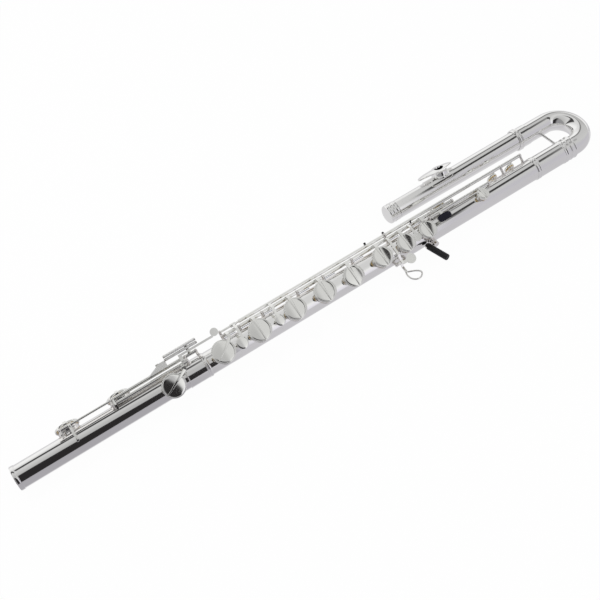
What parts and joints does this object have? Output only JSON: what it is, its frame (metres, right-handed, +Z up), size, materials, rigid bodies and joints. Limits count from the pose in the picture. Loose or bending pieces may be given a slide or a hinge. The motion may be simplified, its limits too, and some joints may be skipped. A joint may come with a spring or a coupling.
{
  "type": "bass flute",
  "caption": "Bass flute with a U-bend, folded head with lip plate and crown, closed cup keys on hinge rods, rollers and crutch.",
  "frame": {"origin": "middle of the bounding box's bottom face, on the surface that the flute lies on", "axes": "+X along the body from the foot's open end to the bend, +Y from the body to the folded head, +Z up, square to the plane of the two tubes"},
  "size_m": [0.9692, 0.1436, 0.0533],
  "materials": {
    "tube_silver": "silver plate, mirror polished",
    "fitting_silver": "silver plate, polished",
    "key_silver": "silver plate, polished",
    "lip_silver": "silver plate, polished",
    "crown_silver": "silver plate, polished",
    "roller_silver": "silver plate, polished",
    "steel_rod": "drawn steel",
    "blued_spring": "blued steel",
    "pad_skin": "felt in a thin skin",
    "cork": "natural cork",
    "screw_metal": "turned brass",
    "black_inlay": "smooth black",
    "crutch_black": "smooth black"
  },
  "bodies": {
    "body_joint": {"body_tube": "tube_silver", "body_tone_hole_rims": "fitting_silver", "body_rib": "fitting_silver", "body_posts": "fitting_silver", "key_steels": "steel_rod", "body_needle_springs": "blued_spring", "barrel": "tube_silver", "crutch_holder": "fitting_silver"},
    "foot_joint": {"foot_tube": "tube_silver", "foot_tone_hole_rims": "fitting_silver", "foot_socket": "tube_silver", "foot_rib": "fitting_silver", "foot_posts": "fitting_silver", "e_flat_steel": "steel_rod", "foot_needle_springs": "blued_spring"},
    "e_flat": {"e_flat_key": "key_silver", "e_flat_pad": "pad_skin"},
    "low_c_sharp": {"low_c_sharp_key": "key_silver", "low_c_sharp_pad": "pad_skin"},
    "low_c": {"low_c_key": "key_silver", "low_c_pad": "pad_skin"},
    "c_sharp_roller": {"c_sharp_roller": "roller_silver"},
    "c_roller": {"c_roller": "roller_silver"},
    "d": {"d_key": "key_silver", "d_pad": "pad_skin"},
    "e": {"e_key": "key_silver", "e_pad": "pad_skin"},
    "f": {"f_key": "key_silver", "f_pad": "pad_skin"},
    "f_sharp": {"f_sharp_key": "key_silver", "f_sharp_pad": "pad_skin"},
    "g_sharp": {"g_sharp_key": "key_silver", "g_sharp_pad": "pad_skin"},
    "g": {"g_key": "key_silver", "g_pad": "pad_skin"},
    "a": {"a_key": "key_silver", "a_pad": "pad_skin"},
    "b_flat": {"b_flat_key": "key_silver", "b_flat_pad": "pad_skin"},
    "thumb": {"thumb_key": "key_silver", "thumb_pad": "pad_skin"},
    "c": {"c_key": "key_silver", "c_pad": "pad_skin", "c_key_inlay": "black_inlay"},
    "trill_d": {"trill_d_key": "key_silver", "trill_d_pad": "pad_skin"},
    "trill_e_flat": {"trill_e_flat_key": "key_silver", "trill_e_flat_pad": "pad_skin"},
    "g_sharp_lever": {"g_sharp_lever": "key_silver"},
    "crutch": {"crutch": "crutch_black"},
    "bend": {"tuning_tenon": "tube_silver", "bend_tube": "tube_silver", "bend_ferrules": "tube_silver", "bend_brace": "tube_silver"},
    "head": {"head_tube": "tube_silver", "embouchure_riser": "lip_silver", "lip_plate": "lip_silver"},
    "crown": {"crown": "crown_silver"},
    "stopper": {"stopper_cork": "cork", "stopper_screw": "screw_metal"}
  },
  "joints": [
    {"name": "foot_twist", "type": "hinge", "parent": "body_joint", "child": "foot_joint", "pos_m": [-0.2346, -0.01576, 0.0173], "axis": [1, 0, 0], "range_deg": [-20, 20]},
    {"name": "e_flat_press", "type": "hinge", "parent": "foot_joint", "child": "e_flat", "pos_m": [-0.2621, -0.00951, 0.03681], "axis": [1, 0, 0], "range_deg": [-10, 0], "stiffness_Nm_per_rad": 0.04, "springref_deg": 20.05},
    {"name": "low_c_sharp_press", "type": "hinge", "parent": "foot_joint", "child": "low_c_sharp", "pos_m": [-0.3276, -0.0015, 0.03705], "axis": [1, 0, 0], "range_deg": [-9, 0], "stiffness_Nm_per_rad": 0.04, "springref_deg": 17.19},
    {"name": "low_c_press", "type": "hinge", "parent": "foot_joint", "child": "low_c", "pos_m": [-0.4011, -0.0015, 0.03705], "axis": [1, 0, 0], "range_deg": [-9, 0], "stiffness_Nm_per_rad": 0.05, "springref_deg": 17.19},
    {"name": "c_sharp_roller_spin", "type": "hinge", "parent": "low_c_sharp", "child": "c_sharp_roller", "pos_m": [-0.2316, 0.00131, 0.04852], "axis": [1, 0, 0], "continuous": true},
    {"name": "c_roller_spin", "type": "hinge", "parent": "low_c", "child": "c_roller", "pos_m": [-0.2316, 0.00455, 0.05165], "axis": [1, 0, 0], "continuous": true},
    {"name": "d_press", "type": "hinge", "parent": "body_joint", "child": "d", "pos_m": [-0.1856, -0.00314, 0.0359], "axis": [1, 0, 0], "range_deg": [0, 8], "stiffness_Nm_per_rad": 0.03, "springref_deg": -17.19},
    {"name": "e_press", "type": "hinge", "parent": "body_joint", "child": "e", "pos_m": [-0.1296, -0.00314, 0.0359], "axis": [1, 0, 0], "range_deg": [0, 8], "stiffness_Nm_per_rad": 0.03, "springref_deg": -17.19},
    {"name": "f_press", "type": "hinge", "parent": "body_joint", "child": "f", "pos_m": [-0.0736, -0.00314, 0.0359], "axis": [1, 0, 0], "range_deg": [0, 8], "stiffness_Nm_per_rad": 0.03, "springref_deg": -17.19},
    {"name": "f_sharp_press", "type": "hinge", "parent": "body_joint", "child": "f_sharp", "pos_m": [-0.0256, -0.00314, 0.0359], "axis": [1, 0, 0], "range_deg": [0, 8], "stiffness_Nm_per_rad": 0.03, "springref_deg": -17.19},
    {"name": "g_sharp_press", "type": "hinge", "parent": "body_joint", "child": "g_sharp", "pos_m": [0.0214, -0.00314, 0.0359], "axis": [1, 0, 0], "range_deg": [-8, 0], "stiffness_Nm_per_rad": 0.03, "springref_deg": 20.05},
    {"name": "g_press", "type": "hinge", "parent": "body_joint", "child": "g", "pos_m": [0.0704, -0.00314, 0.0359], "axis": [1, 0, 0], "range_deg": [0, 8], "stiffness_Nm_per_rad": 0.03, "springref_deg": -17.19},
    {"name": "a_press", "type": "hinge", "parent": "body_joint", "child": "a", "pos_m": [0.1114, -0.00314, 0.0359], "axis": [1, 0, 0], "range_deg": [0, 8], "stiffness_Nm_per_rad": 0.03, "springref_deg": -17.19},
    {"name": "b_flat_press", "type": "hinge", "parent": "body_joint", "child": "b_flat", "pos_m": [0.1494, -0.00314, 0.0359], "axis": [1, 0, 0], "range_deg": [0, 8], "stiffness_Nm_per_rad": 0.03, "springref_deg": -17.19},
    {"name": "thumb_press", "type": "hinge", "parent": "body_joint", "child": "thumb", "pos_m": [0.1959, -0.00314, 0.0359], "axis": [1, 0, 0], "range_deg": [-9, 0], "stiffness_Nm_per_rad": 0.03, "springref_deg": 17.19},
    {"name": "c_press", "type": "hinge", "parent": "body_joint", "child": "c", "pos_m": [0.2524, -0.00997, 0.03624], "axis": [1, 0, 0], "range_deg": [0, 8], "stiffness_Nm_per_rad": 0.03, "springref_deg": -17.19},
    {"name": "trill_d_press", "type": "hinge", "parent": "body_joint", "child": "trill_d", "pos_m": [0.2954, 0.00248, 0.03886], "axis": [1, 0, 0], "range_deg": [0, 7], "stiffness_Nm_per_rad": 0.04, "springref_deg": -20.05},
    {"name": "trill_e_flat_press", "type": "hinge", "parent": "body_joint", "child": "trill_e_flat", "pos_m": [0.3284, 0.00248, 0.03886], "axis": [1, 0, 0], "range_deg": [0, 7], "stiffness_Nm_per_rad": 0.04, "springref_deg": -20.05},
    {"name": "g_sharp_lever_press", "type": "hinge", "parent": "body_joint", "child": "g_sharp_lever", "pos_m": [0.0934, -0.03816, 0.01931], "axis": [1, 0, 0], "range_deg": [0, 6.1]},
    {"name": "crutch_swivel", "type": "hinge", "parent": "body_joint", "child": "crutch", "pos_m": [0.1424, -0.03735, 0.0173], "axis": [1, 0, 0], "range_deg": [-30, 30]},
    {"name": "head_slide", "type": "slide", "parent": "body_joint", "child": "bend", "axis": [1, 0, 0], "range_m": [0, 0.015]},
    {"name": "head_turn", "type": "hinge", "parent": "bend", "child": "head", "pos_m": [0.3764, 0.04825, 0.0173], "axis": [1, 0, 0], "range_deg": [-20, 20]},
    {"name": "crown_turn", "type": "hinge", "parent": "head", "child": "crown", "pos_m": [0.1424, 0.04825, 0.0173], "axis": [1, 0, 0], "range_deg": [-180, 180]},
    {"name": "stopper_slide", "type": "slide", "parent": "head", "child": "stopper", "axis": [1, 0, 0], "range_m": [-0.0005, 0.0005]}
  ],
  "couplings": [
    {"joint": "f_sharp_press", "follows": "f_press", "ratio": 1},
    {"joint": "b_flat_press", "follows": "a_press", "ratio": 1},
    {"joint": "g_sharp_lever_press", "follows": "g_sharp_press", "ratio": -0.75},
    {"joint": "crown_turn", "follows": "stopper_slide", "rad_per_m": 6280}
  ]
}
